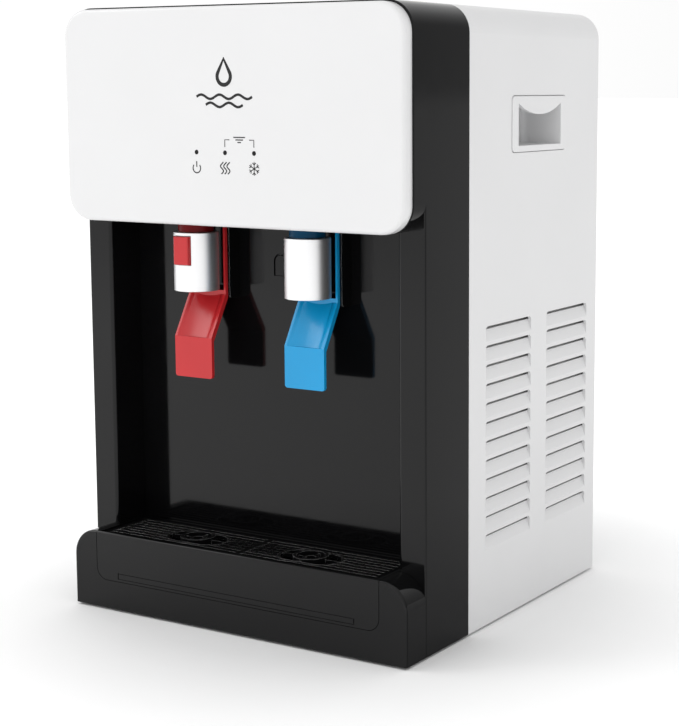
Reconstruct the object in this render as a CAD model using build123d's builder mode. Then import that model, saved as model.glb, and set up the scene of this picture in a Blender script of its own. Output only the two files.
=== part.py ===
from build123d import *
import os

# ---------------------------------------------------------------- driving dimensions (mm)
# Origin: centre of the footprint on the worktop. X to the right, Y to the back, Z up.
width = 320.0
depth = 312.0
height = 482.6
half_width = width / 2
front_y = -depth / 2
back_y = depth / 2
wall = 2.5
gap = 0.4

# cabinet front
underside_z = 2.0
corner_radius = 21.5
seam_y = -66.0
pillar_y = -129.0
niche_half = 136.5
niche_edge_radius = 3.0
niche_wall_y = -95.0
niche_panel_depth = 12.0
light_x = 7.2
light_half = 5.8
light_bottom_z = 274.7
light_top_z = 291.3
light_corner = 5.4
light_gap = 0.1
light_groove = 1.1
light_groove_depth = 1.4
head_bottom_z = 317.0
head_y = -144.0
base_top_z = 64.5

# white front cover
panel_y = -154.0
panel_half = 158.4
panel_bottom_z = 316.7
panel_top_z = 481.2
panel_edge_radius = 3.0
lamp_spacing = 27.0
lamp_z = 372.6
lamp_radius = 1.75
lamp_hole_in_frame = 3.0
lamp_fit = 0.05

# drip tray and grille
tray_half = niche_half - 0.5
tray_bottom_z = 25.4
tray_back_y = -96.5
tray_corner = 10.0
ledge_z = 60.0
grille_bar_pitch = 6.0
grille_gap = 3.4
splash_x = 55.0
splash_length = 56.0
splash_depth = 32.0
splash_ring_radius = 14.0
splash_ring_width = 3.0
splash_hub_radius = 6.5
splash_ring_rise = 1.8

# taps
tap_x = 53.3
tap_y = -124.0
collar_radius = 17.65
collar_bottom_z = 263.3
collar_top_z = 309.4
neck_radius = 13.8
neck_step_z = head_bottom_z + 1.5
slim_neck_radius = 10.0
spout_radius = 8.0
passage_radius = 4.0
neck_top_z = 340.0
tap_opening_half = 22.0
tap_opening_y0 = -141.0
tap_opening_y1 = -98.5
cowl_offset = 19.5
cowl_front_y = -108.3
cowl_bottom_z = 255.5
cowl_thickness = 1.2

# levers
lever_half = 18.2
arm_width = 1.8
pad_front_y = -130.0
pad_depth = 3.0
pad_bottom_z = 194.3
pad_top_z = 226.5
arm_front_y = -111.3
arm_depth = 3.0
arm_back_y = arm_front_y + arm_depth
bend_z = 259.3
slope_thickness = 4.0
scoop_sagitta = 1.6
web_depth = 2.2
web_top_z = 262.4
hinge_y = arm_front_y + arm_depth / 2
hinge_z = 325.0
pin_radius = 1.5
pin_clearance = 0.05
bracket_gap = 0.4

# child lock button
button_half = 7.2
button_bottom_z = 284.3
button_top_z = 306.6
button_front_y = tap_y - collar_radius - 2.0
button_back_y = -136.5

# side louvres
louvre_height = 11.8
louvre_pitch = 14.94
louvre_rows = 12
louvre_top_z = 239.0
louvre_depth = 4.0
louvre_slot = 2.8
louvre_corner = 3.4
louvre_columns = ((-39.8, 34.5), (61.5, 135.6))

# handle recesses
handle_y0 = 0.4
handle_y1 = 91.8
handle_z0 = 370.9
handle_z1 = 414.4
pocket_y0 = 9.9
pocket_y1 = 82.3
pocket_z0 = 375.6
pocket_z1 = 411.4
pocket_depth = 34.0
pocket_corner = 5.0
lip_end_z = 408.8
lip_low_z = 400.0
lip_thickness = 3.0
rim_proud = 0.8
rim_gap = 0.6
rim_flange = 3.0

# rear service panel
rear_opening_half = 150.0
rear_opening_z0 = 18.0
rear_opening_z1 = 455.0
rear_panel_y = 149.9
rear_panel_thickness = 1.5
rear_face_y = rear_panel_y + rear_panel_thickness

# tanks, compressor and filters
cold_x, cold_y = 60.0, 25.0
cold_tank_radius = 43.0
cold_foam_radius = 62.0
hot_x, hot_y = -70.0, 20.0
hot_tank_radius = 36.0
hot_foam_radius = 52.0
tank_z0 = 302.0
tank_z1 = 430.0
compressor_x, compressor_y = 85.0, 60.0
compressor_radius = 50.0
compressor_top_z = 150.0
filter_positions = ((-118.0, 55.0), (-52.0, 55.0))
filter_radius = 29.0
manifold_z0 = 245.0
manifold_z1 = 268.0
tube_radius = 3.175
copper_radius = 2.5
condenser_y = 138.0

# rear fittings
inlet_x, inlet_z = -100.0, 70.0
inlet_bore_radius = 3.2
drain_x, drain_z = 4.0, 50.0
drain_bore_radius = 4.0
power_x, power_z = 50.0, 50.0
switch_x = 112.0
switch_z = {"hot": 55.0, "cold": 80.0, "light": 105.0}
switch_pivot_y = 149.0
rocker_tilt = 7.0


# ---------------------------------------------------------------- helpers
def facing_front(y, x=0.0):
    """Plane at depth y, drawn on as seen from the front: X to the right, Z up."""
    return Plane(origin=(x, y, 0), x_dir=(1, 0, 0), z_dir=(0, -1, 0))


def facing_right(x):
    """Plane at width x, drawn on as seen from the right: Y to the right, Z up."""
    return Plane(origin=(x, 0, 0), x_dir=(0, 1, 0), z_dir=(1, 0, 0))


def block(x0, x1, y0, y1, z0, z1, mode=Mode.ADD):
    """Box between two corners, added to the part being built."""
    with Locations(((x0 + x1) / 2, (y0 + y1) / 2, (z0 + z1) / 2)):
        Box(x1 - x0, y1 - y0, z1 - z0, mode=mode)


def upright(x, y, z0, z1, radius, mode=Mode.ADD):
    """Cylinder along Z."""
    with Locations((x, y, (z0 + z1) / 2)):
        Cylinder(radius, z1 - z0, mode=mode)


def along_y(x, z, y0, y1, radius, mode=Mode.ADD):
    """Cylinder along Y."""
    with Locations((x, (y0 + y1) / 2, z)):
        Cylinder(radius, y1 - y0, rotation=(90, 0, 0), mode=mode)


def along_x(y, z, x0, x1, radius, mode=Mode.ADD):
    """Cylinder along X."""
    with Locations(((x0 + x1) / 2, y, z)):
        Cylinder(radius, x1 - x0, rotation=(0, 90, 0), mode=mode)


def rounded_top(plane, half, z0, z1, radius):
    """Rectangle whose two upper corners are rounded."""
    with BuildSketch(plane) as outline:
        with Locations((0, (z0 + z1) / 2)):
            Rectangle(2 * half, z1 - z0)
        fillet(outline.vertices().group_by(Axis.Y)[-1], radius)
    return outline.sketch


def rounded_bottom(plane, half, z0, z1, radius):
    """Rectangle whose two lower corners are rounded."""
    with BuildSketch(plane) as outline:
        with Locations((0, (z0 + z1) / 2)):
            Rectangle(2 * half, z1 - z0)
        fillet(outline.vertices().group_by(Axis.Y)[0], radius)
    return outline.sketch


def rounded_all(plane, half, z0, z1, radius):
    """Rectangle with four rounded corners."""
    with BuildSketch(plane) as outline:
        with Locations((0, (z0 + z1) / 2)):
            RectangleRounded(2 * half, z1 - z0, radius)
    return outline.sketch


def tube(points, radius, bend):
    """Solid tube of one radius along a path with rounded bends."""
    with BuildPart() as pipe:
        with BuildLine() as path:
            FilletPolyline(*points, radius=bend)
        with BuildSketch(Plane(origin=path.line @ 0, z_dir=path.line % 0)):
            Circle(radius)
        sweep(path=path.line)
    return pipe.part


parts = {}


def keep(builder, name):
    """Label a finished piece and list it for export."""
    builder.part.label = name
    parts[name] = builder.part


# ---------------------------------------------------------------- black front frame
frame_outline = rounded_top(facing_front(pillar_y), half_width, underside_z, height, corner_radius)
head_outline = rounded_all(facing_front(head_y), half_width, head_bottom_z, height, corner_radius)
head_hollow = rounded_all(
    facing_front(head_y + wall), half_width - wall, head_bottom_z + wall, height - wall, corner_radius - wall
)

with BuildPart() as front_frame:
    extrude(frame_outline, amount=pillar_y - seam_y)
    extrude(head_outline, amount=head_y - pillar_y)
    block(-niche_half, niche_half, pillar_y, seam_y, underside_z, head_bottom_z, Mode.SUBTRACT)
    upright_edges = front_frame.edges().filter_by(Axis.Z)
    pillar_edges = upright_edges.filter_by_position(Axis.Y, pillar_y - 0.1, pillar_y + 0.1)
    long_edges = pillar_edges.filter_by(lambda edge: edge.length > 200)
    niche_edges = long_edges.filter_by_position(Axis.X, -niche_half - 0.1, niche_half + 0.1)
    outer_edges = long_edges.filter_by(lambda edge: abs(edge.center().X) > niche_half + 1)
    fillet(niche_edges, niche_edge_radius)
    fillet(outer_edges, 1.2)
    extrude(head_hollow, amount=head_y + wall - seam_y, mode=Mode.SUBTRACT)
    for side in (-1, 1):
        x0, x1 = sorted((side * (niche_half + wall), side * (half_width - wall)))
        block(x0, x1, pillar_y + wall, seam_y, underside_z + wall, head_bottom_z + wall + 30, Mode.SUBTRACT)
        # opening in the underside of the head for the tap and its lever
        block(side * tap_x - tap_opening_half, side * tap_x + tap_opening_half, tap_opening_y0,
              tap_opening_y1, head_bottom_z - 1, head_bottom_z + wall + 1, Mode.SUBTRACT)
    for x in (-lamp_spacing, 0, lamp_spacing):
        along_y(x, lamp_z, head_y - 1, head_y + wall + 1, lamp_hole_in_frame, Mode.SUBTRACT)
keep(front_frame, "front_frame")

# ---------------------------------------------------------------- niche back wall
light_hole = rounded_top(
    facing_front(niche_wall_y, light_x), light_half + light_gap, light_bottom_z - light_gap,
    light_top_z + light_gap, light_corner + light_gap
)
light_groove_outline = rounded_top(
    facing_front(niche_wall_y, light_x), light_half + light_groove, light_bottom_z - light_gap,
    light_top_z + light_groove, light_corner + light_groove
)
light_outline = rounded_top(
    facing_front(niche_wall_y - 0.2, light_x), light_half, light_bottom_z, light_top_z, light_corner
)

with BuildPart() as niche_panel:
    niche_top_z = head_bottom_z - 0.3
    niche_bottom_z = base_top_z + 0.3
    panel_half_x = niche_half - 0.3
    niche_panel_back_y = niche_wall_y + niche_panel_depth
    block(-panel_half_x, panel_half_x, niche_wall_y, niche_panel_back_y, niche_bottom_z, niche_top_z)
    block(-panel_half_x + wall, panel_half_x - wall, niche_wall_y + wall, niche_panel_back_y + 1,
          niche_bottom_z + wall, niche_top_z - wall, Mode.SUBTRACT)
    extrude(light_hole, amount=-wall, mode=Mode.SUBTRACT)
    extrude(light_groove_outline, amount=-light_groove_depth, mode=Mode.SUBTRACT)
keep(niche_panel, "niche_panel")

with BuildPart() as night_light_lens:
    extrude(light_outline, amount=-(wall + 1.5))
    fillet(night_light_lens.faces().sort_by(Axis.Y)[0].edges(), 0.6)
keep(night_light_lens, "night_light_lens")

with BuildPart() as faucet_cowls:
    for side in (-1, 1):
        for edge in (-1, 1):
            with BuildSketch(facing_right(side * tap_x + edge * cowl_offset)):
                with Locations(((cowl_front_y + niche_wall_y) / 2, (cowl_bottom_z + head_bottom_z) / 2)):
                    Rectangle(niche_wall_y - cowl_front_y - 0.2, head_bottom_z - cowl_bottom_z - 0.6)
            extrude(amount=cowl_thickness / 2, both=True)
    lower_front = faucet_cowls.edges().filter_by(Axis.X).group_by(Axis.Z)[0].group_by(Axis.Y)[0]
    fillet(lower_front, 3.0)
keep(faucet_cowls, "faucet_cowls")

# ---------------------------------------------------------------- black base housing
base_outline = rounded_top(facing_front(front_y), half_width, underside_z, base_top_z, corner_radius)
cavity_outline = rounded_bottom(
    facing_front(front_y - 1), niche_half, tray_bottom_z - gap, base_top_z + 5, tray_corner + gap
)
base_inner_half = niche_half - 0.3

with BuildPart() as base_housing:
    extrude(base_outline, amount=front_y - pillar_y + 0.3)
    fillet(base_housing.faces().sort_by(Axis.Y)[0].edges().filter_by_position(Axis.Z, 3, base_top_z + 1), 2.0)
    block(-base_inner_half, base_inner_half, pillar_y - 1, seam_y, underside_z, base_top_z)
    extrude(cavity_outline, amount=front_y - 1 - niche_wall_y, mode=Mode.SUBTRACT)
    # hollow underside: below the tray, behind it, and in the two side blocks
    block(-base_inner_half + wall, base_inner_half - wall, front_y + wall, niche_wall_y, 0,
          tray_bottom_z - gap - wall, Mode.SUBTRACT)
    block(-base_inner_half + wall, base_inner_half - wall, niche_wall_y, seam_y + 1, 0,
          base_top_z - wall, Mode.SUBTRACT)
    block(-base_inner_half, base_inner_half, niche_wall_y, niche_wall_y + wall, underside_z, base_top_z)
    for side in (-1, 1):
        x0, x1 = sorted((side * (niche_half + wall), side * (half_width - wall)))
        block(x0, x1, front_y + wall, pillar_y - wall, 0, base_top_z - corner_radius, Mode.SUBTRACT)
        # round boss above each front foot
        upright(side * 118, -122, underside_z, tray_bottom_z - gap - 1, 11)
keep(base_housing, "base_housing")

# ---------------------------------------------------------------- drip tray
tray_outline = rounded_bottom(facing_front(front_y), tray_half, tray_bottom_z, base_top_z, tray_corner)

with BuildPart() as drip_tray:
    extrude(tray_outline, amount=front_y - tray_back_y)
    block(-tray_half + 4.5, tray_half - 4.5, front_y + 4.5, tray_back_y - 4.5, tray_bottom_z + 3,
          base_top_z + 1, Mode.SUBTRACT)
    fillet(drip_tray.edges().filter_by(Axis.Z).filter_by_position(Axis.X, -tray_half + 3, tray_half - 3), 3)
    block(-tray_half + 2.5, tray_half - 2.5, front_y + 2.5, tray_back_y - 2.5, ledge_z, base_top_z + 1,
          Mode.SUBTRACT)
    fillet(drip_tray.faces().sort_by(Axis.Y)[0].edges().sort_by(Axis.Z)[-1], 1.0)
    # shallow outline groove along the foot of the front face
    with BuildSketch(facing_front(front_y)):
        with Locations((0, 29.9)):
            Rectangle(229, 5.2)
            Rectangle(227.4, 3.6, mode=Mode.SUBTRACT)
    extrude(amount=-0.6, mode=Mode.SUBTRACT)
keep(drip_tray, "drip_tray")

# ---------------------------------------------------------------- drip grille
grille_half = tray_half - 2.9
grille_y0 = front_y + 2.9
grille_y1 = tray_back_y - 2.9
grille_mid_y = (grille_y0 + grille_y1) / 2
grille_z0 = ledge_z + 0.3
grille_thickness = 3.0

with BuildPart() as drip_grille:
    with BuildSketch(Plane.XY.offset(grille_z0)):
        with Locations((0, grille_mid_y)):
            Rectangle(2 * grille_half, grille_y1 - grille_y0)
        # slots between the bars, left and right of the central divider
        slot_length = grille_half - 8
        for side in (-1, 1):
            with Locations((side * (slot_length / 2 + 2.5), grille_mid_y)):
                with GridLocations(0, grille_bar_pitch, 1, 8):
                    Rectangle(slot_length, grille_gap, mode=Mode.SUBTRACT)
        # splash openings with their rings under the spouts
        for side in (-1, 1):
            with Locations((side * splash_x, grille_mid_y)):
                SlotOverall(splash_length, splash_depth)
                SlotOverall(splash_length - 4, splash_depth - 4, mode=Mode.SUBTRACT)
                Circle(splash_ring_radius)
                Circle(splash_ring_radius - splash_ring_width, mode=Mode.SUBTRACT)
                Rectangle(splash_length - 2, 2)
                Rectangle(2, splash_depth - 2)
                Circle(splash_hub_radius)
                Circle(splash_hub_radius - 2.5, mode=Mode.SUBTRACT)
    extrude(amount=grille_thickness)
    # the two rings stand slightly above the bars
    with BuildSketch(Plane.XY.offset(grille_z0 + grille_thickness)):
        for side in (-1, 1):
            with Locations((side * splash_x, grille_mid_y)):
                Circle(splash_ring_radius)
                Circle(splash_ring_radius - splash_ring_width, mode=Mode.SUBTRACT)
    extrude(amount=splash_ring_rise)
keep(drip_grille, "drip_grille")

# ---------------------------------------------------------------- white front cover
panel_outline = rounded_all(facing_front(panel_y), panel_half, panel_bottom_z, panel_top_z, corner_radius)
panel_hollow = rounded_all(
    facing_front(panel_y + wall), panel_half - wall, panel_bottom_z + wall, panel_top_z - wall,
    corner_radius - wall
)

with BuildPart() as front_panel:
    extrude(panel_outline, amount=panel_y - head_y)
    fillet(front_panel.faces().sort_by(Axis.Y)[0].edges(), panel_edge_radius)
    extrude(panel_hollow, amount=panel_y + wall - head_y, mode=Mode.SUBTRACT)
    for x in (-lamp_spacing, 0, lamp_spacing):
        along_y(x, lamp_z, panel_y - 1, panel_y + wall + 1, lamp_radius + lamp_fit, Mode.SUBTRACT)
keep(front_panel, "front_panel")

with BuildPart() as indicator_lenses:
    for x in (-lamp_spacing, 0, lamp_spacing):
        along_y(x, lamp_z, panel_y - 0.1, panel_y + wall + 0.8, lamp_radius)
keep(indicator_lenses, "indicator_lenses")

with BuildPart() as indicator_board:
    block(-48, 48, -147.6, -146.0, 345, 385)
    for x in (-lamp_spacing, 0, lamp_spacing):
        block(x - 2, x + 2, -149.2, -147.6, lamp_z - 2, lamp_z + 2)
    block(-40, -22, -146.0, -144.4, 350, 360)
keep(indicator_board, "indicator_board")

# ---------------------------------------------------------------- white rear housing
housing_front_y = seam_y + 0.3
housing_outline = rounded_top(facing_front(housing_front_y), half_width, underside_z, height, corner_radius)
housing_hollow = rounded_top(
    facing_front(housing_front_y - 1), half_width - wall, underside_z - 1, height - wall, corner_radius - wall
)
# one louvre: a pressed-in sheet, flush at its foot, with an open slot along its top edge
column_width = louvre_columns[0][1] - louvre_columns[0][0]
with BuildPart() as scoop_body:
    with BuildSketch(Plane.XZ) as scoop_profile:
        with BuildLine():
            Polyline(
                (half_width - wall + 0.2, -louvre_height - 0.8),
                (half_width - wall + 0.2, -louvre_slot),
                (half_width - louvre_depth - 1.0, -louvre_slot),
                close=True,
            )
        make_face()
    extrude(amount=column_width / 2 + 1.5, both=True)

with BuildPart() as scoop_cut:
    with BuildSketch(Plane.XZ):
        with BuildLine():
            Polyline(
                (half_width, -louvre_height),
                (half_width - louvre_depth, 0),
                (half_width + 1, 0),
                (half_width + 1, -louvre_height),
                close=True,
            )
        make_face()
    extrude(amount=column_width / 2, both=True)
    fillet(scoop_cut.edges().filter_by(Axis.X).group_by(Axis.Z)[-1], louvre_corner)

louvre_spots = []
for y0, y1 in louvre_columns:
    for row in range(louvre_rows):
        louvre_spots.append((0, (y0 + y1) / 2, louvre_top_z - row * louvre_pitch))

with BuildPart() as louvre_bodies:
    with Locations(*louvre_spots):
        add(scoop_body.part)
    mirror(about=Plane.YZ)

with BuildPart() as louvre_cuts:
    with Locations(*louvre_spots):
        add(scoop_cut.part)
    mirror(about=Plane.YZ)

with BuildPart() as rear_housing:
    extrude(housing_outline, amount=housing_front_y - back_y)
    rear_face_edges = rear_housing.faces().sort_by(Axis.Y)[-1].edges()
    fillet(rear_face_edges.filter_by(lambda edge: edge.center().Z > underside_z + 1), 3.0)
    extrude(housing_hollow, amount=housing_front_y - 1 - (back_y - wall), mode=Mode.SUBTRACT)
    block(-rear_opening_half, rear_opening_half, back_y - wall - 1, back_y + 1, rear_opening_z0,
          rear_opening_z1, Mode.SUBTRACT)
    # inner ledge that the service panel is screwed to
    ledge_half = half_width - wall + 0.2
    block(-ledge_half, ledge_half, 145.6, rear_panel_y - 0.3, 8, 465)
    block(-138, 138, 145, rear_panel_y, 28, 445, Mode.SUBTRACT)
    add(louvre_bodies.part)
    add(louvre_cuts.part, mode=Mode.SUBTRACT)
    for side in (-1, 1):
        with BuildSketch(facing_right(side * half_width)):
            with Locations(((handle_y0 + handle_y1) / 2, (handle_z0 + handle_z1) / 2)):
                RectangleRounded(handle_y1 - handle_y0 + 2 * rim_gap, handle_z1 - handle_z0 + 2 * rim_gap, 4)
        extrude(amount=wall + 1, both=True, mode=Mode.SUBTRACT)
keep(rear_housing, "rear_housing")


# ---------------------------------------------------------------- handle recesses
def pocket_space(side):
    """Room for the fingers behind the lip, with rounded corners at the back."""
    x0, x1 = sorted((side * (half_width - lip_thickness), side * (half_width - pocket_depth)))
    with BuildPart() as space:
        block(x0, x1, pocket_y0, pocket_y1, pocket_z0, pocket_z1)
        deep_face = space.faces().sort_by(Axis.X)[0 if side > 0 else -1]
        fillet(deep_face.edges().filter_by(Axis.Z), pocket_corner)
    return space.part


def handle_cup(side):
    """Carrying-handle recess with a hanging finger lip; side is +1 for right, -1 for left."""
    mid_y = (handle_y0 + handle_y1) / 2
    mid_z = (handle_z0 + handle_z1) / 2
    face_x = side * (half_width + rim_proud)
    with BuildPart() as cup:
        # rim through the housing wall, standing a little proud of it
        with BuildSketch(facing_right(side * (half_width - wall))):
            with Locations((mid_y, mid_z)):
                RectangleRounded(handle_y1 - handle_y0, handle_z1 - handle_z0, 4)
        extrude(amount=side * (wall + rim_proud))
        fillet(cup.faces().sort_by(Axis.X)[-1 if side > 0 else 0].edges(), 0.6)
        # flange against the inside of the housing wall
        with BuildSketch(facing_right(side * (half_width - wall))):
            with Locations((mid_y, mid_z)):
                RectangleRounded(
                    handle_y1 - handle_y0 + 2 * rim_flange, handle_z1 - handle_z0 + 2 * rim_flange, 4
                )
        extrude(amount=-side * 1.5)
        # box of the recess behind it
        with BuildSketch(facing_right(side * half_width)):
            with Locations((mid_y, mid_z)):
                RectangleRounded(handle_y1 - handle_y0 - 4.6, handle_z1 - handle_z0 - 4.6, 3)
        extrude(amount=-side * (pocket_depth + 2))
        # pocket behind the lip
        add(pocket_space(side), mode=Mode.SUBTRACT)
        # opening below the curved edge of the lip
        with BuildSketch(facing_right(face_x)):
            with BuildLine():
                Line((pocket_y0, lip_end_z), (pocket_y0, pocket_z0))
                Line((pocket_y0, pocket_z0), (pocket_y1, pocket_z0))
                Line((pocket_y1, pocket_z0), (pocket_y1, lip_end_z))
                ThreePointArc((pocket_y1, lip_end_z), (mid_y, lip_low_z), (pocket_y0, lip_end_z))
            make_face()
        extrude(amount=-side * (lip_thickness + 2), mode=Mode.SUBTRACT)
    return cup


keep(handle_cup(-1), "handle_cup_left")
keep(handle_cup(1), "handle_cup_right")

# ---------------------------------------------------------------- rear service panel
with BuildPart() as rear_panel:
    block(-rear_opening_half + 0.5, rear_opening_half - 0.5, rear_panel_y, rear_face_y,
          rear_opening_z0 + 0.5, rear_opening_z1 - 0.5)
    with BuildSketch(facing_front(rear_panel_y - 1)):
        with Locations((0, 270)):
            with GridLocations(84, 14, 3, 18):
                SlotOverall(66, 5)
    extrude(amount=-(rear_panel_thickness + 2), mode=Mode.SUBTRACT)
    along_y(inlet_x, inlet_z, rear_panel_y - 1, rear_face_y + 1, 8.2, Mode.SUBTRACT)
    along_y(drain_x, drain_z, rear_panel_y - 1, rear_face_y + 1, 7.2, Mode.SUBTRACT)
    block(power_x - 13.7, power_x + 13.7, rear_panel_y - 1, rear_face_y + 1, power_z - 10.2,
          power_z + 10.2, Mode.SUBTRACT)
    for z in switch_z.values():
        block(switch_x - 6.5, switch_x + 6.5, rear_panel_y - 1, rear_face_y + 1, z - 10.2, z + 10.2,
              Mode.SUBTRACT)
    screw_spots = []
    for x in (-144, 144):
        for z in (26, 165, 305, 447):
            screw_spots.append((x, z))
    for x, z in screw_spots:
        along_y(x, z, rear_panel_y - 1, rear_face_y + 1, 2.1, Mode.SUBTRACT)
keep(rear_panel, "rear_panel")

with BuildPart() as rear_panel_screws:
    for x, z in screw_spots:
        along_y(x, z, rear_face_y, rear_face_y + 2.2, 3.6)
        along_y(x, z, rear_panel_y - 0.2, rear_face_y, 1.9)
    fillet(rear_panel_screws.faces().sort_by(Axis.Y)[-8:].edges(), 1.0)
    for x, z in screw_spots:
        for wide, tall in ((4.4, 0.9), (0.9, 4.4)):
            block(x - wide / 2, x + wide / 2, rear_face_y + 1.2, rear_face_y + 3, z - tall / 2, z + tall / 2,
                  Mode.SUBTRACT)
keep(rear_panel_screws, "rear_panel_screws")

# ---------------------------------------------------------------- floor plate and feet
with BuildPart() as base_plate:
    block(-156.5, 156.5, seam_y + 1, 152.5, underside_z, underside_z + 1.5)
    with BuildSketch(Plane.XY.offset(underside_z - 1)):
        with Locations((-80, 45)):
            with GridLocations(0, 14, 1, 9):
                SlotOverall(100, 5)
    extrude(amount=4, mode=Mode.SUBTRACT)
keep(base_plate, "base_plate")

with BuildPart() as feet:
    for x in (-118, 118):
        for y in (-122, 130):
            upright(x, y, 0, underside_z, 10)
    fillet(feet.faces().group_by(Axis.Z)[0].edges(), 0.8)
keep(feet, "feet")


# ---------------------------------------------------------------- taps
def tap_body(side):
    """Coloured neck and the spout inside the collar, with a through passage."""
    x = side * tap_x
    with BuildPart() as body:
        upright(x, tap_y, collar_top_z + 0.3, neck_step_z, neck_radius)
        upright(x, tap_y, neck_step_z, neck_top_z, slim_neck_radius)
        upright(x, tap_y, collar_bottom_z + 4, collar_top_z + 0.3, spout_radius)
        upright(x, tap_y, neck_top_z, neck_top_z + 8, 6.5)
        upright(x, tap_y, collar_bottom_z + 3, neck_top_z + 9, passage_radius, Mode.SUBTRACT)
    return body


def collar(side, with_window):
    """Satin sleeve round the spout; the hot one has a window for the lock button."""
    x = side * tap_x
    with BuildPart() as sleeve:
        upright(x, tap_y, collar_bottom_z, collar_top_z, collar_radius)
        rims = sleeve.edges().filter_by(GeomType.CIRCLE)
        fillet(rims, 0.6)
        upright(x, tap_y, collar_bottom_z - 1, collar_top_z - 2, collar_radius - 1.6, Mode.SUBTRACT)
        upright(x, tap_y, collar_bottom_z - 1, collar_top_z + 1, spout_radius + 0.2, Mode.SUBTRACT)
        if with_window:
            block(x - button_half - gap, x + button_half + gap, tap_y - 30, tap_y - 8,
                  button_bottom_z - gap, button_top_z + gap, Mode.SUBTRACT)
    return sleeve


keep(tap_body(-1), "hot_tap_body")
keep(tap_body(1), "cold_tap_body")
keep(collar(-1, True), "hot_collar")
keep(collar(1, False), "cold_collar")

with BuildPart() as child_lock_button:
    block(-tap_x - button_half, -tap_x + button_half, button_front_y, button_back_y, button_bottom_z,
          button_top_z)
    fillet(child_lock_button.faces().sort_by(Axis.Y)[0].edges(), 1.3)
keep(child_lock_button, "child_lock_button")


# ---------------------------------------------------------------- levers
slope_run = Vector(0, arm_front_y - pad_front_y, bend_z - pad_top_z)
slope_direction = slope_run.normalized()
slope_front = Vector(0, -slope_direction.Z, slope_direction.Y)
scoop_half = lever_half - arm_width
scoop_radius = (scoop_half**2 + scoop_sagitta**2) / (2 * scoop_sagitta)


def slope_back_z(y):
    """Height of the back of the sloping part at depth y."""
    start = Vector(0, pad_front_y, pad_top_z) - slope_front * slope_thickness
    return start.Z + (y - start.Y) * slope_direction.Z / slope_direction.Y


def scoop(side):
    """Round bar that leaves the shallow hollow in the sloping part, ending above the pad."""
    middle = Vector(side * tap_x, pad_front_y, pad_top_z) + slope_run * 0.5
    centre = middle + slope_front * (scoop_radius - scoop_sagitta)
    with BuildPart() as bar:
        with BuildSketch(Plane(origin=centre, x_dir=(1, 0, 0), z_dir=slope_direction)):
            Circle(scoop_radius)
        extrude(amount=slope_run.length, both=True)
        block(-half_width, half_width, -2 * depth, depth, 0, pad_top_z, Mode.SUBTRACT)
    return bar.part


def lever(side):
    """Forked push lever: flat pad, hollowed slope, cross web and two arms up to the hinge."""
    x = side * tap_x
    pad_back_y = pad_front_y + pad_depth
    lower_part = [
        (pad_front_y, pad_bottom_z),
        (pad_front_y, pad_top_z),
        (arm_front_y, bend_z),
        (arm_back_y, bend_z),
        (arm_back_y, slope_back_z(arm_back_y)),
        (pad_back_y, slope_back_z(pad_back_y)),
        (pad_back_y, pad_bottom_z),
    ]
    with BuildPart() as fork:
        with BuildSketch(facing_right(x)):
            with BuildLine():
                Polyline(*lower_part, close=True)
            make_face()
        extrude(amount=lever_half, both=True)
        lower_corners = fork.edges().filter_by(Axis.Y).group_by(Axis.Z)[0]
        fillet(lower_corners, 2.2)
        add(scoop(side), mode=Mode.SUBTRACT)
        block(x - lever_half + 1, x + lever_half - 1, arm_back_y - web_depth, arm_back_y,
              slope_back_z(arm_back_y) - 1, web_top_z)
        for edge in (-1, 1):
            x0, x1 = sorted((x + edge * lever_half, x + edge * (lever_half - arm_width)))
            block(x0, x1, arm_front_y, arm_back_y, bend_z - 1, hinge_z + 2)
            # hinge eye
            along_x(hinge_y, hinge_z, x0, x1, 4.0)
        along_x(hinge_y, hinge_z, x - lever_half - 1, x + lever_half + 1, pin_radius + pin_clearance,
                Mode.SUBTRACT)
    return fork


keep(lever(-1), "hot_lever")
keep(lever(1), "cold_lever")

bracket_inner = lever_half + bracket_gap
bracket_outer = tap_opening_half + 5
pin_half = bracket_inner + 4

with BuildPart() as lever_brackets:
    for side in (-1, 1):
        for edge in (-1, 1):
            x0, x1 = sorted((side * tap_x + edge * bracket_inner, side * tap_x + edge * bracket_outer))
            block(x0, x1, hinge_y - 5, hinge_y + 5, head_bottom_z + wall + 0.2, hinge_z + 5)
            along_x(hinge_y, hinge_z, x0 - 1, x1 + 1, pin_radius, Mode.SUBTRACT)
keep(lever_brackets, "lever_brackets")

with BuildPart() as lever_pins:
    for side in (-1, 1):
        along_x(hinge_y, hinge_z, side * tap_x - pin_half, side * tap_x + pin_half, pin_radius)
keep(lever_pins, "lever_pins")


def coil_spring(x):
    """Return spring wound round the middle of a hinge pin."""
    with BuildPart() as coil:
        with BuildLine() as winding:
            Helix(pitch=1.6, height=12, radius=2.4, center=(x - 6, hinge_y, hinge_z),
                  direction=(1, 0, 0))
        with BuildSketch(Plane(origin=winding.line @ 0, z_dir=winding.line % 0)):
            Circle(0.45)
        sweep(path=winding.line, is_frenet=True)
    return coil.part


with BuildPart() as lever_springs:
    for side in (-1, 1):
        add(coil_spring(side * tap_x))
keep(lever_springs, "lever_springs")

# ---------------------------------------------------------------- cold side
with BuildPart() as cold_tank:
    upright(cold_x, cold_y, tank_z0, tank_z1, cold_tank_radius)
    fillet(cold_tank.edges().filter_by(GeomType.CIRCLE), 8)
    upright(cold_x, cold_y, tank_z0 + 4, tank_z1 - 4, cold_tank_radius - 2, Mode.SUBTRACT)
keep(cold_tank, "cold_tank")

with BuildPart() as evaporator_coil:
    for turn in range(8):
        with Locations((cold_x, cold_y, 318 + 9 * turn)):
            Torus(cold_tank_radius + 3, 2.0)
    upright(cold_x, cold_y + cold_tank_radius + 3, 312, 318 + 69, 2.6)
keep(evaporator_coil, "evaporator_coil")

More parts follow.
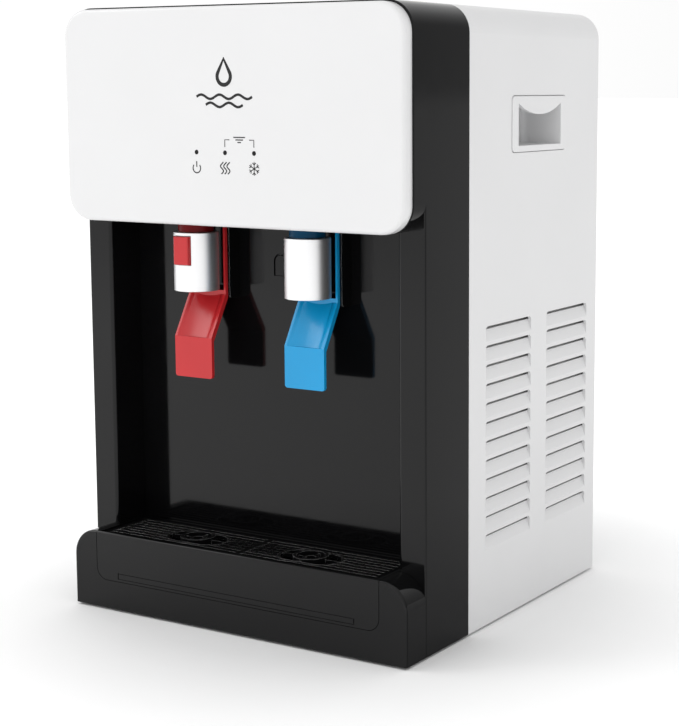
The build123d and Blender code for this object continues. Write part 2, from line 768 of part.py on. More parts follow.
with BuildPart() as cold_insulation:
    upright(cold_x, cold_y, tank_z0 - 12, tank_z1 + 14, cold_foam_radius)
    fillet(cold_insulation.edges().filter_by(GeomType.CIRCLE), 4)
    upright(cold_x, cold_y, tank_z0 - 0.5, tank_z1 + 0.5, cold_tank_radius + 6, Mode.SUBTRACT)
keep(cold_insulation, "cold_insulation")

# ---------------------------------------------------------------- hot side
with BuildPart() as hot_tank:
    upright(hot_x, hot_y, tank_z0, tank_z1, hot_tank_radius)
    fillet(hot_tank.edges().filter_by(GeomType.CIRCLE), 6)
    upright(hot_x, hot_y, tank_z0 + 4, tank_z1 - 4, hot_tank_radius - 2, Mode.SUBTRACT)
keep(hot_tank, "hot_tank")

with BuildPart() as heater_band:
    upright(hot_x, hot_y, 315, 365, hot_tank_radius + 3)
    upright(hot_x, hot_y, 314, 366, hot_tank_radius + 0.2, Mode.SUBTRACT)
    block(hot_x - 8, hot_x + 8, hot_y + hot_tank_radius + 2, hot_y + hot_tank_radius + 8, 330, 350)
keep(heater_band, "heater_band")

with BuildPart() as hot_insulation:
    upright(hot_x, hot_y, tank_z0 - 8, tank_z1 + 10, hot_foam_radius)
    fillet(hot_insulation.edges().filter_by(GeomType.CIRCLE), 4)
    upright(hot_x, hot_y, tank_z0 - 0.5, tank_z1 + 0.5, hot_tank_radius + 9, Mode.SUBTRACT)
keep(hot_insulation, "hot_insulation")

# ---------------------------------------------------------------- refrigeration
with BuildPart() as compressor:
    upright(compressor_x, compressor_y, 14, compressor_top_z, compressor_radius)
    fillet(compressor.faces().sort_by(Axis.Z)[-1].edges(), 24)
    fillet(compressor.faces().sort_by(Axis.Z)[0].edges(), 8)
    along_y(compressor_x, 80, 105, 116, 5)
    block(compressor_x - 58, compressor_x + 58, compressor_y - 44, compressor_y + 44, 12, 15)
    with Locations((compressor_x, compressor_y, 84)):
        Cylinder(compressor_radius + 1.6, 5)
keep(compressor, "compressor")

with BuildPart() as compressor_grommets:
    for x in (compressor_x - 50, compressor_x + 50):
        for y in (compressor_y - 36, compressor_y + 36):
            upright(x, y, underside_z + 1.5, 12, 7)
keep(compressor_grommets, "compressor_grommets")

with BuildPart() as condenser:
    for row in range(13):
        along_x(condenser_y, 120 + 24 * row, -122, 122, copper_radius)
    for column in range(11):
        upright(-120 + 24 * column, condenser_y, 116, 412, 1.0)
keep(condenser, "condenser")

with BuildPart() as refrigerant_lines:
    upright(compressor_x, compressor_y, compressor_top_z + 0.2, tank_z0 - 12.2, copper_radius)
    add(tube([(compressor_x, 116.2, 80), (compressor_x, condenser_y, 80), (compressor_x, condenser_y, 115)],
             copper_radius, 10))
keep(refrigerant_lines, "refrigerant_lines")

# ---------------------------------------------------------------- filters, valve and water lines
with BuildPart() as filter_cartridges:
    for x, y in filter_positions:
        upright(x, y, 46, manifold_z0 - 0.3, filter_radius)
    fillet(filter_cartridges.faces().group_by(Axis.Z)[0].edges(), 10)
    for x, y in filter_positions:
        for z in (60, 222):
            with Locations((x, y, z)):
                Cylinder(filter_radius + 1.2, 5)
keep(filter_cartridges, "filter_cartridges")

with BuildPart() as filter_manifold:
    for x, y in filter_positions:
        upright(x, y, manifold_z0, manifold_z1, 26)
    block(-118, -52, 38, 72, manifold_z0 + 6, manifold_z1 - 4)
    block(-106, -94, 70, 86, manifold_z0 + 5, manifold_z0 + 17)
    block(-66, -54, 70, 86, manifold_z0 + 5, manifold_z0 + 17)
keep(filter_manifold, "filter_manifold")

with BuildPart() as solenoid_valve:
    block(inlet_x - 13, inlet_x + 13, 106, 132, 58, 82)
    along_y(inlet_x, inlet_z, 92, 106, 11)
    upright(inlet_x, 119, 82, 88, 6)
keep(solenoid_valve, "solenoid_valve")

manifold_port_z = manifold_z0 + 11
faucet_port_z = neck_top_z + 8.3
with BuildPart() as water_lines:
    add(tube([(inlet_x, 119, 88.3), (inlet_x, 119, manifold_port_z), (inlet_x, 86.3, manifold_port_z)],
             tube_radius, 10))
    add(tube([(-60, 86.3, manifold_port_z), (-60, 112, manifold_port_z), (-60, 112, 460), (cold_x, 112, 460),
              (cold_x, 40, 460), (cold_x, 40, tank_z1 + 14.3)], tube_radius, 9))
    add(tube([(cold_x, cold_y - cold_foam_radius - 0.3, 366), (cold_x, -80, 366), (tap_x, tap_y, 366),
              (tap_x, tap_y, faucet_port_z)], tube_radius, 8))
    add(tube([(hot_x, hot_y - hot_foam_radius - 0.3, 366), (hot_x, -80, 366), (-tap_x, tap_y, 366),
              (-tap_x, tap_y, faucet_port_z)], tube_radius, 8))
    add(tube([(hot_x, hot_y, tank_z0 - 8.3), (hot_x, hot_y, 282), (drain_x, hot_y, 282),
              (drain_x, hot_y, drain_z), (drain_x, 138, drain_z)], tube_radius, 9))
keep(water_lines, "water_lines")

with BuildPart() as power_board:
    block(-40, 60, -74, -72.4, 110, 210)
    block(-30, 0, -72.4, -50, 160, 195)
    block(10, 26, -72.4, -56, 130, 146)
    block(34, 50, -72.4, -56, 130, 146)
    with Locations((-15, -62, 130)):
        Cylinder(8, 20.8, rotation=(90, 0, 0))
keep(power_board, "power_board")

# ---------------------------------------------------------------- rear fittings
with BuildPart() as water_inlet:
    along_y(inlet_x, inlet_z, 132.3, 155.0, 8)
    along_y(inlet_x, inlet_z, rear_face_y, 153.4, 12)
    along_y(inlet_x, inlet_z, 146.6, rear_panel_y, 12)
    along_y(inlet_x, inlet_z, 136, 156, inlet_bore_radius, Mode.SUBTRACT)
keep(water_inlet, "water_inlet")

with BuildPart() as drain_outlet:
    along_y(drain_x, drain_z, 138.3, 153.2, 7)
    along_y(drain_x, drain_z, rear_face_y, 152.8, 10.5)
    along_y(drain_x, drain_z, 146.6, rear_panel_y, 10.5)
    along_y(drain_x, drain_z, 140, 154, drain_bore_radius, Mode.SUBTRACT)
keep(drain_outlet, "drain_outlet")

with BuildPart() as drain_cap:
    along_y(drain_x, drain_z, 153.6, 155.8, 8.5)
    fillet(drain_cap.faces().sort_by(Axis.Y)[-1].edges(), 0.8)
    along_y(drain_x, drain_z, 146, 153.6, drain_bore_radius - 0.06)
keep(drain_cap, "drain_cap")

with BuildPart() as power_inlet:
    block(power_x - 16, power_x + 16, rear_face_y, 153.4, power_z - 13, power_z + 13)
    block(power_x - 13.4, power_x + 13.4, 134, rear_face_y, power_z - 9.9, power_z + 9.9)
    block(power_x - 12, power_x + 12, 137, 154, power_z - 8, power_z + 8, Mode.SUBTRACT)
    for x in (-7, 0, 7):
        block(power_x + x - 1, power_x + x + 1, 136, 151, power_z - 2, power_z + 2)
keep(power_inlet, "power_inlet")

with BuildPart() as switch_housings:
    for z in switch_z.values():
        block(switch_x - 8.5, switch_x + 8.5, rear_face_y, 152.9, z - 12, z + 12)
        block(switch_x - 6.2, switch_x + 6.2, 136, rear_face_y, z - 9.9, z + 9.9)
        block(switch_x - 5.2, switch_x + 5.2, 138, 154, z - 9.0, z + 9.0, Mode.SUBTRACT)
        along_x(switch_pivot_y - 2, z, switch_x - 5.7, switch_x + 5.7, 1.25, Mode.SUBTRACT)
keep(switch_housings, "switch_housings")


def rocker(z):
    """Rocker switch key, stored tilted to its off position."""
    pivot = Location((switch_x, switch_pivot_y - 2, z), (rocker_tilt, 0, 0))
    with BuildPart() as key:
        with BuildSketch(facing_right(0)):
            with BuildLine():
                Polyline((-5, -3), (-5, 3), (5.4, 7.9), (4.2, 0), (5.4, -7.9), close=True)
            make_face()
        extrude(amount=4.8, both=True)
        along_x(0, 0, -5.5, 5.5, 1.2)
    with BuildPart() as placed:
        add(key.part.moved(pivot))
    return placed


for name, z in switch_z.items():
    keep(rocker(z), name + "_switch")

# ---------------------------------------------------------------- export
os.makedirs("parts", exist_ok=True)
for name, solid in parts.items():
    export_step(solid, "parts/" + name + ".step")
print(len(parts), "nodes")
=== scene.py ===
"""Countertop water dispenser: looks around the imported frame."""
import math

import bmesh
import bpy
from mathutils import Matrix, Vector


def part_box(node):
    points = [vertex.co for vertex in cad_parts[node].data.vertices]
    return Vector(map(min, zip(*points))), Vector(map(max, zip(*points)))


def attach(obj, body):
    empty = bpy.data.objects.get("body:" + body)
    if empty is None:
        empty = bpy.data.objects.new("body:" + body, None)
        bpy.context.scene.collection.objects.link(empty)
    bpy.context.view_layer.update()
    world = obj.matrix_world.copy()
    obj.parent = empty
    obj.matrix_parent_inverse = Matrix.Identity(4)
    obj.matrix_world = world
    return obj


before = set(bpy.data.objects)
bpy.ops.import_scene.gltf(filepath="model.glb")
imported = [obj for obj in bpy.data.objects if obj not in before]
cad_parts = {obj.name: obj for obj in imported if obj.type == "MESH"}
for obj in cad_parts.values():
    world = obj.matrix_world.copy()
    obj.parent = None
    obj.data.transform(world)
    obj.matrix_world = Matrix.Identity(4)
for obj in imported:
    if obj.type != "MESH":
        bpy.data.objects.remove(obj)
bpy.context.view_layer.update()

MM = 0.001
CABINET = "cabinet"

# ------------------------------------------------------------------ camera
CAMERA_AT = Vector((0.7900, -1.1638, 0.4209))
CAMERA_YAW = 30.804  # degrees from straight ahead
CAMERA_PITCH = 7.539  # degrees below level
LENS_MM = 84.089256
SENSOR_MM = 36.0
SHIFT_X, SHIFT_Y = -0.13980716, -0.070247934


def make_camera():
    """Camera in front, to the right and a little above, with only the shift that the framing needs."""
    data = bpy.data.cameras.new("camera")
    cam = bpy.data.objects.new("camera", data)
    bpy.context.scene.collection.objects.link(cam)
    data.sensor_fit = "AUTO"
    data.sensor_width = SENSOR_MM
    data.lens = LENS_MM
    data.shift_x, data.shift_y = SHIFT_X, SHIFT_Y
    data.clip_start, data.clip_end = 0.05, 200.0
    cam.location = CAMERA_AT
    cam.rotation_euler = (math.radians(90.0 - CAMERA_PITCH), 0.0, math.radians(CAMERA_YAW))
    bpy.context.scene.camera = cam


make_camera()


# ------------------------------------------------------------------ material helpers
NOISE_LOW, NOISE_HIGH = 0.3, 0.7  # where most of a noise texture's values lie
SHADE_LOW, SHADE_HIGH = 0.35, 0.65
FLOW_SCALE = 14.0  # moulding flow marks, per metre
GLOSS_SCALE = 55.0  # patches of gloss, per metre
PLASTIC_BUMP, METAL_BUMP = 0.25, 0.2
# Sideways part of the surface normal where the painted shade on side walls begins and ends.
SIDE_TURN_START, SIDE_TURN_END = 0.75, 0.98
EVEN = (1.0, 1.0, 1.0)
WHITE = (1.0, 1.0, 1.0, 1.0)


def new_material(name):
    """New node material, with its shader and a texture coordinate node."""
    mat = bpy.data.materials.new(name)
    mat.use_nodes = True
    nodes, links = mat.node_tree.nodes, mat.node_tree.links
    shader = nodes["Principled BSDF"]
    coords = nodes.new("ShaderNodeTexCoord")
    return mat, nodes, links, shader, coords


def noise(nodes, links, coords, scale, detail=3.0, rough=0.5, stretch=EVEN):
    """Noise texture over object coordinates; scale is in features per metre."""
    mapping = nodes.new("ShaderNodeMapping")
    mapping.inputs["Scale"].default_value = stretch
    links.new(coords.outputs["Object"], mapping.inputs["Vector"])
    tex = nodes.new("ShaderNodeTexNoise")
    tex.inputs["Scale"].default_value = scale
    tex.inputs["Detail"].default_value = detail
    tex.inputs["Roughness"].default_value = rough
    links.new(mapping.outputs["Vector"], tex.inputs["Vector"])
    return tex.outputs["Fac"]


def spread(nodes, links, value, low, high):
    """Maps a noise value to the range from low to high."""
    node = nodes.new("ShaderNodeMapRange")
    node.inputs["From Min"].default_value = NOISE_LOW
    node.inputs["From Max"].default_value = NOISE_HIGH
    node.inputs["To Min"].default_value = low
    node.inputs["To Max"].default_value = high
    links.new(value, node.inputs["Value"])
    return node.outputs["Result"]


def tint(nodes, links, value, dark, light):
    """Colour between two close shades, led by a noise value."""
    ramp = nodes.new("ShaderNodeValToRGB")
    ramp.color_ramp.elements[0].position = SHADE_LOW
    ramp.color_ramp.elements[1].position = SHADE_HIGH
    ramp.color_ramp.elements[0].color = (*dark, 1.0)
    ramp.color_ramp.elements[1].color = (*light, 1.0)
    links.new(value, ramp.inputs["Fac"])
    return ramp.outputs["Color"]


def bump(nodes, links, shader, height, strength, distance):
    """Bump from a height value; distance is in metres."""
    node = nodes.new("ShaderNodeBump")
    node.inputs["Strength"].default_value = strength
    node.inputs["Distance"].default_value = distance
    links.new(height, node.inputs["Height"])
    links.new(node.outputs["Normal"], shader.inputs["Normal"])


def shades(color, amount):
    """Two shades a little darker and lighter than a colour."""
    return [c * (1.0 - amount) for c in color], [min(1.0, c * (1.0 + amount)) for c in color]


def side_painted_shade(nodes, links, shader, coords, front, side):
    """Painted shade: a lower specular level darkens walls that face left or right. The export drops it."""
    split = nodes.new("ShaderNodeSeparateXYZ")
    links.new(coords.outputs["Normal"], split.inputs["Vector"])
    absolute = nodes.new("ShaderNodeMath")
    absolute.operation = "ABSOLUTE"
    links.new(split.outputs["X"], absolute.inputs[0])
    node = nodes.new("ShaderNodeMapRange")
    node.inputs["From Min"].default_value = SIDE_TURN_START
    node.inputs["From Max"].default_value = SIDE_TURN_END
    node.inputs["To Min"].default_value = front
    node.inputs["To Max"].default_value = side
    links.new(absolute.outputs["Value"], node.inputs["Value"])
    links.new(node.outputs["Result"], shader.inputs["Specular IOR Level"])


def plastic(name, color, rough, rough_spread=0.03, grain=900.0, depth=0.00002, vary=0.03, specular=0.5,
            side_specular=None):
    """Moulded plastic: faint flow marks in colour and gloss, and a fine moulded grain."""
    mat, nodes, links, shader, coords = new_material(name)
    dark, light = shades(color, vary)
    flow = noise(nodes, links, coords, FLOW_SCALE)
    links.new(tint(nodes, links, flow, dark, light), shader.inputs["Base Color"])
    gloss = noise(nodes, links, coords, GLOSS_SCALE, 4.0, 0.6)
    roughness = spread(nodes, links, gloss, rough - rough_spread, rough + rough_spread)
    links.new(roughness, shader.inputs["Roughness"])
    shader.inputs["Specular IOR Level"].default_value = specular
    # Optional painted shade on side walls, through a lower specular level there.
    if side_specular is not None:
        side_painted_shade(nodes, links, shader, coords, specular, side_specular)
    bump(nodes, links, shader, noise(nodes, links, coords, grain, 2.0), PLASTIC_BUMP, depth)
    return mat


def metal(name, color, rough, stretch, grain=700.0, depth=0.00002, rough_spread=0.05, metallic=1.0,
          vary=0.05):
    """Bare or painted metal; stretch gives the grain its direction."""
    mat, nodes, links, shader, coords = new_material(name)
    dark, light = shades(color, vary)
    brushed = noise(nodes, links, coords, grain, 3.0, 0.6, stretch)
    links.new(tint(nodes, links, brushed, dark, light), shader.inputs["Base Color"])
    roughness = spread(nodes, links, brushed, rough - rough_spread, rough + rough_spread)
    links.new(roughness, shader.inputs["Roughness"])
    shader.inputs["Metallic"].default_value = metallic
    if depth > 0.0:
        bump(nodes, links, shader, brushed, METAL_BUMP, depth)
    return mat


BLACK = (0.0030, 0.0030, 0.0033)

# Plastics: name, colour, roughness, its spread, grain per metre and depth, shade variation, specular level.
# Metals: name, colour, roughness, grain stretch, per metre and depth, roughness spread, metallic, variation.
# The two pale edge looks are a painted highlight on a rounded black edge. They are no second plastic.
MAT = {
    # The side walls of the black gloss get painted shade from a lower specular level.
    "black_gloss": plastic("black_gloss_plastic", BLACK, 0.085, 0.02, 500.0, 0.000006, 0.08, 0.27,
                           side_specular=0.08),
    "tray_black": plastic("tray_black_plastic", BLACK, 0.16, 0.03, 700.0, 0.00001, 0.08, 0.28),
    "grille_black": plastic("grille_black_plastic", BLACK, 0.4, 0.05, 900.0, 0.00001, 0.08, 0.01),
    # Pale colour on the rounded edges of grille bars and cowls: a painted highlight.
    "grille_painted_highlight": plastic("grille_painted_highlight_plastic", (0.78, 0.78, 0.78), 0.3, 0.03, 900.0, 0.000005, 0.08, 1.0),
    "cowl_painted_highlight": plastic("cowl_painted_highlight_plastic", (0.80, 0.80, 0.80), 0.3, 0.03, 900.0, 0.000005, 0.08, 0.5),
    "white": plastic("white_gloss_plastic", (0.72, 0.72, 0.724), 0.24, 0.03, 1100.0, 0.00001, 0.006),
    "white_satin": plastic("white_satin_plastic", (0.71, 0.71, 0.715), 0.38, 0.04, 1400.0, 0.00003, 0.008),
    "lens": plastic("smoked_lens", (0.003, 0.003, 0.0033), 0.08, 0.02, 300.0, 0.000004, 0.05, 0.25),
    "ink": plastic("printed_ink", (0.012, 0.012, 0.013), 0.45, 0.05, 2000.0, 0.00001, 0.1, 0.3),
    "board": plastic("circuit_board", (0.02, 0.12, 0.05), 0.4, 0.06, 1500.0, 0.00005, 0.15),
    "rubber": plastic("foot_rubber", (0.02, 0.02, 0.021), 0.75, 0.08, 1600.0, 0.0001, 0.15),
    "red": plastic("red_plastic", (0.51, 0.018, 0.022), 0.22, 0.03, 900.0, 0.00001, 0.04, 0.42),
    "blue": plastic("blue_plastic", (0.003, 0.30, 0.62), 0.22, 0.03, 900.0, 0.00001, 0.04, 0.42),
    # Darker copies of the red and blue plastics for the tap bodies under the head: painted shade.
    "painted_shade_red": plastic("painted_shade_red_plastic", (0.16, 0.005, 0.007), 0.3, 0.03, 900.0, 0.00001, 0.04, 0.1),
    "painted_shade_blue": plastic("painted_shade_blue_plastic", (0.001, 0.055, 0.125), 0.3, 0.03, 900.0, 0.00001, 0.04, 0.1),
    "black_matt": plastic("black_matt_plastic", (0.02, 0.02, 0.021), 0.5, 0.06, 1500.0, 0.00004, 0.1),
    "grey_plastic": plastic("grey_fitting_plastic", (0.30, 0.31, 0.33), 0.4, 0.05, 1200.0, 0.00003, 0.05),
    "screen": plastic("dust_screen_fleece", (0.62, 0.62, 0.62), 0.8, 0.05, 1200.0, 0.0002, 0.08),
    "foam": plastic("insulation_foam", (0.70, 0.70, 0.66), 0.85, 0.05, 500.0, 0.0008, 0.08),
    "silver": metal("satin_silver", (0.88, 0.88, 0.885), 0.42, (1.0, 1.0, 8.0), 400.0, 0.0, 0.02, vary=0.01),
    "panel_steel": metal("painted_steel", (0.46, 0.47, 0.48), 0.48, EVEN, 900.0, 0.00004, 0.06, 0.0, 0.04),
    "zinc": metal("zinc_steel", (0.62, 0.62, 0.62), 0.34, EVEN, 900.0, 0.00003, 0.08, vary=0.12),
    "stainless": metal("stainless_steel", (0.60, 0.60, 0.60), 0.30, (1.0, 1.0, 12.0), 300.0),
    "copper": metal("copper_tube", (0.72, 0.36, 0.22), 0.30, EVEN, 250.0, vary=0.15),
    "enamel": metal("black_enamel", (0.015, 0.015, 0.016), 0.35, EVEN, 700.0, 0.00005, 0.06, 0.0, 0.2),
}

NODE_LOOK = {
    "black_gloss": ["front_frame", "niche_panel", "base_housing", "faucet_cowls", "lever_brackets"],
    "tray_black": ["drip_tray"],
    "grille_black": ["drip_grille"],
    "white": ["front_panel"],
    "white_satin": ["rear_housing", "handle_cup_left", "handle_cup_right", "filter_cartridges"],
    "lens": ["night_light_lens", "indicator_lenses"],
    "board": ["indicator_board", "power_board"],
    "panel_steel": ["rear_panel"],
    "zinc": ["base_plate", "rear_panel_screws", "lever_pins", "lever_springs"],
    "rubber": ["feet", "compressor_grommets"],
    "red": ["hot_lever", "child_lock_button", "hot_switch"],
    "blue": ["cold_lever", "cold_switch"],
    "painted_shade_red": ["hot_tap_body"],
    "painted_shade_blue": ["cold_tap_body"],
    "silver": ["hot_collar", "cold_collar"],
    "stainless": ["cold_tank", "hot_tank", "heater_band"],
    "copper": ["evaporator_coil", "refrigerant_lines"],
    "foam": ["cold_insulation", "hot_insulation"],
    "enamel": ["compressor", "condenser"],
    "grey_plastic": ["filter_manifold", "solenoid_valve", "water_lines", "water_inlet", "drain_outlet",
                     "drain_cap"],
    "black_matt": ["power_inlet", "switch_housings", "light_switch"],
}


def dress_nodes():
    """Gives each CAD node its procedural material."""
    for look, names in NODE_LOOK.items():
        for name in names:
            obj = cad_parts[name]
            obj.data.materials.clear()
            obj.data.materials.append(MAT[look])
            for polygon in obj.data.polygons:
                polygon.material_index = 0


dress_nodes()

# Width of the round in millimetres, and the look of its surface where that differs from the piece's own.
EDGE_ROUNDS = {
    # The grille and cowl rounds carry a pale painted highlight in place of the piece's black.
    "drip_grille": (1.0, "grille_painted_highlight"),
    "faucet_cowls": (0.4, "cowl_painted_highlight"),
    "hot_lever": (0.4, None),
    "cold_lever": (0.4, None),
    "drip_tray": (0.5, None),
    "indicator_lenses": (0.1, None),
}
WELD_REACH = 0.001 * MM
SHARP_EDGE = 50.0  # degrees


def round_edges():
    """Small rounds on moulded edges, so that they catch the light; some carry a pale painted highlight."""
    for name, (width, look) in EDGE_ROUNDS.items():
        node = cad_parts[name]
        weld = node.modifiers.new("edge_weld", "WELD")
        weld.merge_threshold = WELD_REACH
        bevel = node.modifiers.new("edge_round", "BEVEL")
        bevel.width = width * MM
        bevel.segments = 2
        bevel.limit_method = "ANGLE"
        bevel.angle_limit = math.radians(SHARP_EDGE)
        bevel.harden_normals = True
        if look:
            # The faces of the round get the pale painted highlight.
            node.data.materials.append(MAT[look])
            bevel.material = 1


round_edges()


# ------------------------------------------------------------------ printed marks on the white cover
panel_low, panel_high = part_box("front_panel")
FACE_Y = panel_low.y
INK_THICKNESS = 0.12 * MM
INK_SINK = 0.02 * MM
HAIR_STROKE, THIN_STROKE, ICON_STROKE, HEAT_STROKE = 0.6 * MM, 0.65 * MM, 0.85 * MM, 0.9 * MM
BAR_STROKE, DROP_STROKE, RIPPLE_STROKE = 0.8 * MM, 2.9 * MM, 1.9 * MM
lamp_low, lamp_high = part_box("indicator_lenses")
LAMP_Z = (lamp_low.z + lamp_high.z) / 2
LAMP_SPACING = (lamp_high.x - lamp_low.x) / 2 - (lamp_high.z - lamp_low.z) / 2
ICON_Z = LAMP_Z - 11.4 * MM


def ribbon(bm, points, width, closed=False):
    """Flat inked line of constant width along X-Z points, standing a hair off the cover."""
    count = len(points)
    left, right = [], []
    for i, point in enumerate(points):
        before = points[i - 1] if (i > 0 or closed) else point
        after = points[(i + 1) % count] if (i < count - 1 or closed) else point
        direction = Vector((after[0] - before[0], after[1] - before[1])).normalized()
        normal = Vector((-direction.y, direction.x)) * width / 2
        left.append((point[0] + normal.x, point[1] + normal.y))
        right.append((point[0] - normal.x, point[1] - normal.y))
    rings = []
    for a, b in zip(left, right):
        rings.append([
            bm.verts.new((a[0], FACE_Y + INK_SINK, a[1])),
            bm.verts.new((a[0], FACE_Y - INK_THICKNESS, a[1])),
            bm.verts.new((b[0], FACE_Y - INK_THICKNESS, b[1])),
            bm.verts.new((b[0], FACE_Y + INK_SINK, b[1])),
        ])
    spans = count if closed else count - 1
    for i in range(spans):
        r0, r1 = rings[i], rings[(i + 1) % count]
        for j in range(4):
            k = (j + 1) % 4
            bm.faces.new((r0[j], r0[k], r1[k], r1[j]))
    if not closed:
        bm.faces.new(rings[0])
        bm.faces.new(list(reversed(rings[-1])))


def mesh_object(bm, name, material):
    """Puts a finished bmesh into the scene as an object of one material."""
    mesh = bpy.data.meshes.new(name)
    bm.to_mesh(mesh)
    bm.free()
    obj = bpy.data.objects.new(name, mesh)
    bpy.context.scene.collection.objects.link(obj)
    mesh.materials.append(material)
    return obj


def finish_mark(bm, name):
    """Turns a bmesh of ink into a piece on the cabinet."""
    bmesh.ops.recalc_face_normals(bm, faces=bm.faces)
    obj = mesh_object(bm, name, MAT["ink"])
    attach(obj, CABINET)


def arc(cx, cz, radius, start, end, steps=28):
    """Points on an arc; angles in degrees, counter-clockwise from +X."""
    points = []
    for i in range(steps + 1):
        a = math.radians(start + (end - start) * i / steps)
        points.append((cx + radius * math.cos(a), cz + radius * math.sin(a)))
    return points


def power_icon(cx, cz):
    """Open ring with a stroke in its gap."""
    bm = bmesh.new()
    ribbon(bm, arc(cx, cz - 0.6 * MM, 3.6 * MM, 140, 400), ICON_STROKE)
    ribbon(bm, [(cx, cz + 4.6 * MM), (cx, cz + 0.2 * MM)], ICON_STROKE)
    finish_mark(bm, "mark_power")


def heat_icon(cx, cz):
    """Three rising waves of warm air."""
    bm = bmesh.new()
    steps = 24
    waves, start = 1.25, -0.4
    for offset in (-3.0, 0.0, 3.0):
        points = []
        for i in range(steps + 1):
            t = i / steps
            z = cz + (t - 0.5) * 9.0 * MM
            x = cx + offset * MM + 1.35 * MM * math.sin(t * 2 * math.pi * waves + start)
            points.append((x, z))
        ribbon(bm, points, HEAT_STROKE)
    finish_mark(bm, "mark_heat")


def snow_icon(cx, cz):
    """Six-armed snowflake with a pair of twigs on each arm."""
    bm = bmesh.new()
    arms = 6
    for i in range(arms):
        a = math.radians(90 + 360 / arms * i)
        out = Vector((math.cos(a), math.sin(a)))
        ribbon(bm, [(cx, cz), (cx + out.x * 5.0 * MM, cz + out.y * 5.0 * MM)], THIN_STROKE)
        for turn in (-50, 50):
            b = a + math.radians(turn)
            foot = (cx + out.x * 3.0 * MM, cz + out.y * 3.0 * MM)
            tip = (foot[0] + math.cos(b) * 2.1 * MM, foot[1] + math.sin(b) * 2.1 * MM)
            ribbon(bm, [foot, tip], HAIR_STROKE)
    finish_mark(bm, "mark_snowflake")


def filter_bracket(x0, x1, low_z, high_z):
    """Thin bracket over two lamps with a plain three-bar filter sign in its gap."""
    bm = bmesh.new()
    middle = (x0 + x1) / 2
    gap = 9.2 * MM
    ribbon(bm, [(x0, low_z), (x0, high_z), (middle - gap, high_z)], THIN_STROKE)
    ribbon(bm, [(middle + gap, high_z), (x1, high_z), (x1, low_z)], THIN_STROKE)
    for rise, half in ((1.9, 5.4), (0.0, 3.5), (-1.9, 1.6)):
        z = high_z + rise * MM
        ribbon(bm, [(middle - half * MM, z), (middle + half * MM, z)], BAR_STROKE)
    finish_mark(bm, "mark_filter")


def water_mark(cx, cz):
    """Plain water drop over two ripples."""
    bm = bmesh.new()
    tip = (cx, cz + 11.5 * MM)
    drop = arc(cx, cz - 1.5 * MM, 6.2 * MM, 155, 385, 40)
    ribbon(bm, [tip] + drop, DROP_STROKE, closed=True)
    steps, wide, narrow = 64, 26.0, 17.3
    for ripple_z, half in ((-16.5, wide), (-22.5, narrow)):
        points = []
        for i in range(steps + 1):
            t = i / steps
            x = cx + (2 * t - 1) * half * MM
            swell = 1.6 * MM * math.sin(t * half / wide * 6 * math.pi)
            points.append((x, cz + ripple_z * MM + swell))
        ribbon(bm, points, RIPPLE_STROKE)
    finish_mark(bm, "mark_water")


power_icon(-LAMP_SPACING, ICON_Z)
heat_icon(0.0, ICON_Z)
snow_icon(LAMP_SPACING, ICON_Z)
BRACKET_LOW, BRACKET_HIGH = LAMP_Z + 4.3 * MM, LAMP_Z + 9.7 * MM
WATER_MARK_Z = LAMP_Z + 58.0 * MM
filter_bracket(0.0, LAMP_SPACING, BRACKET_LOW, BRACKET_HIGH)
water_mark(0.0, WATER_MARK_Z)


# ------------------------------------------------------------------ dust screens behind the side louvres
# A guess, and only in the visual model: they close the view through the cabinet from slot to slot.
SCREEN_INSET = 8.6 * MM  # from the outside of the side wall
SCREEN_FOLD = 0.8 * MM
SCREEN_PITCH = 4.0 * MM
SCREEN_THICKNESS = 0.5 * MM
SCREEN_Y = (-44.0 * MM, 140.0 * MM)
SCREEN_Z = (56.0 * MM, 244.0 * MM)


def dust_screen(name, side, wall_x):
    """Pleated fleece sheet that stands upright just inside one side wall."""
    folds = int((SCREEN_Y[1] - SCREEN_Y[0]) / SCREEN_PITCH)
    bm = bmesh.new()
    columns = []
    for i in range(2 * folds + 1):
        y = SCREEN_Y[0] + i * SCREEN_PITCH / 2
        x = wall_x - side * (SCREEN_INSET + SCREEN_FOLD * (i % 2))
        back = x - side * SCREEN_THICKNESS
        low_z, high_z = SCREEN_Z
        outline = ((x, low_z), (x, high_z), (back, high_z), (back, low_z))
        columns.append([bm.verts.new((px, y, pz)) for px, pz in outline])
    for near, far in zip(columns, columns[1:]):
        for j in range(4):
            k = (j + 1) % 4
            bm.faces.new((near[j], near[k], far[k], far[j]))
    bm.faces.new(columns[0])
    bm.faces.new(list(reversed(columns[-1])))
    bmesh.ops.recalc_face_normals(bm, faces=bm.faces)
    screen = mesh_object(bm, name, MAT["screen"])
    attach(screen, CABINET)


housing_low, housing_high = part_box("rear_housing")
dust_screen("dust_screen_left", -1, housing_low.x)
dust_screen("dust_screen_right", 1, housing_high.x)


# ------------------------------------------------------------------ floor and light
FLOOR_HALF = 60.0
FLOOR_CELLS = 24
# Painted light on the floor: an emission that rises between these distances from the object.
FAR_PAINTED_GLOW = 0.3
GLOW_START, GLOW_END = 0.19, 0.50  # metres from the middle of the object
WORLD_BRIGHT, WORLD_DIM = 1.02, 0.74
DIM_SIDE = (0.80, 0.60, 0.0)
DIM_START, DIM_END = 0.1, 0.9


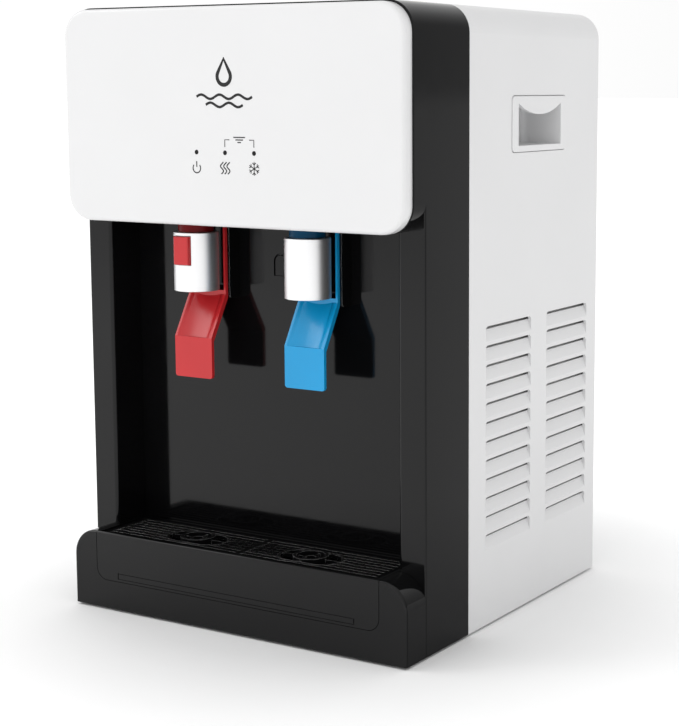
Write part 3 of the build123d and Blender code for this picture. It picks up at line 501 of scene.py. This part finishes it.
def floor_painted_glow(mat):
    """Painted light: the floor glows more with distance from the object, up to plain white."""
    nodes, links = mat.node_tree.nodes, mat.node_tree.links
    shader = nodes["Principled BSDF"]
    coords = nodes.new("ShaderNodeTexCoord")
    reach = nodes.new("ShaderNodeVectorMath")
    reach.operation = "LENGTH"
    links.new(coords.outputs["Object"], reach.inputs[0])
    level = nodes.new("ShaderNodeMapRange")
    level.inputs["From Min"].default_value = GLOW_START
    level.inputs["From Max"].default_value = GLOW_END
    level.inputs["To Max"].default_value = FAR_PAINTED_GLOW
    links.new(reach.outputs["Value"], level.inputs["Value"])
    shader.inputs["Emission Color"].default_value = WHITE
    links.new(level.outputs["Result"], shader.inputs["Emission Strength"])


def make_floor():
    """Large pale floor that the object stands on."""
    bm = bmesh.new()
    bmesh.ops.create_grid(bm, x_segments=FLOOR_CELLS, y_segments=FLOOR_CELLS, size=FLOOR_HALF)
    paper = plastic("floor_paper", (0.945, 0.945, 0.945), 0.7, 0.05, 600.0, 0.00002, 0.004, specular=0.1)
    # The floor gets painted light: a glow away from the object.
    floor_painted_glow(paper)
    mesh_object(bm, "floor", paper)


def area_light(name, at, towards, size, power):
    """Soft rectangular studio light."""
    data = bpy.data.lights.new(name, "AREA")
    data.shape = "RECTANGLE"
    data.size, data.size_y = size
    data.energy = power
    lamp = bpy.data.objects.new(name, data)
    bpy.context.scene.collection.objects.link(lamp)
    lamp.location = at
    lamp.rotation_euler = (Vector(towards) - Vector(at)).to_track_quat("-Z", "Y").to_euler()


def make_world():
    """White studio surround, dimmer towards the back right."""
    world = bpy.data.worlds.new("studio")
    bpy.context.scene.world = world
    world.use_nodes = True
    nodes, links = world.node_tree.nodes, world.node_tree.links
    background = nodes["Background"]
    background.inputs["Color"].default_value = WHITE
    coords = nodes.new("ShaderNodeTexCoord")
    facing = nodes.new("ShaderNodeVectorMath")
    facing.operation = "DOT_PRODUCT"
    facing.inputs[1].default_value = DIM_SIDE
    links.new(coords.outputs["Generated"], facing.inputs[0])
    level = nodes.new("ShaderNodeMapRange")
    level.inputs["From Min"].default_value = DIM_START
    level.inputs["From Max"].default_value = DIM_END
    level.inputs["To Min"].default_value = WORLD_BRIGHT
    level.inputs["To Max"].default_value = WORLD_DIM
    links.new(facing.outputs["Value"], level.inputs["Value"])
    links.new(level.outputs["Result"], background.inputs["Strength"])


make_floor()
make_world()
area_light("key", (-1.83, -1.15, 1.61), (0, -0.12, 0.24), (1.0, 1.4), 10.5)
area_light("fill", (0.2, -2.6, 2.4), (0, -0.3, 0.1), (2.0, 2.0), 3.0)
bpy.context.scene.view_settings.view_transform = "Standard"
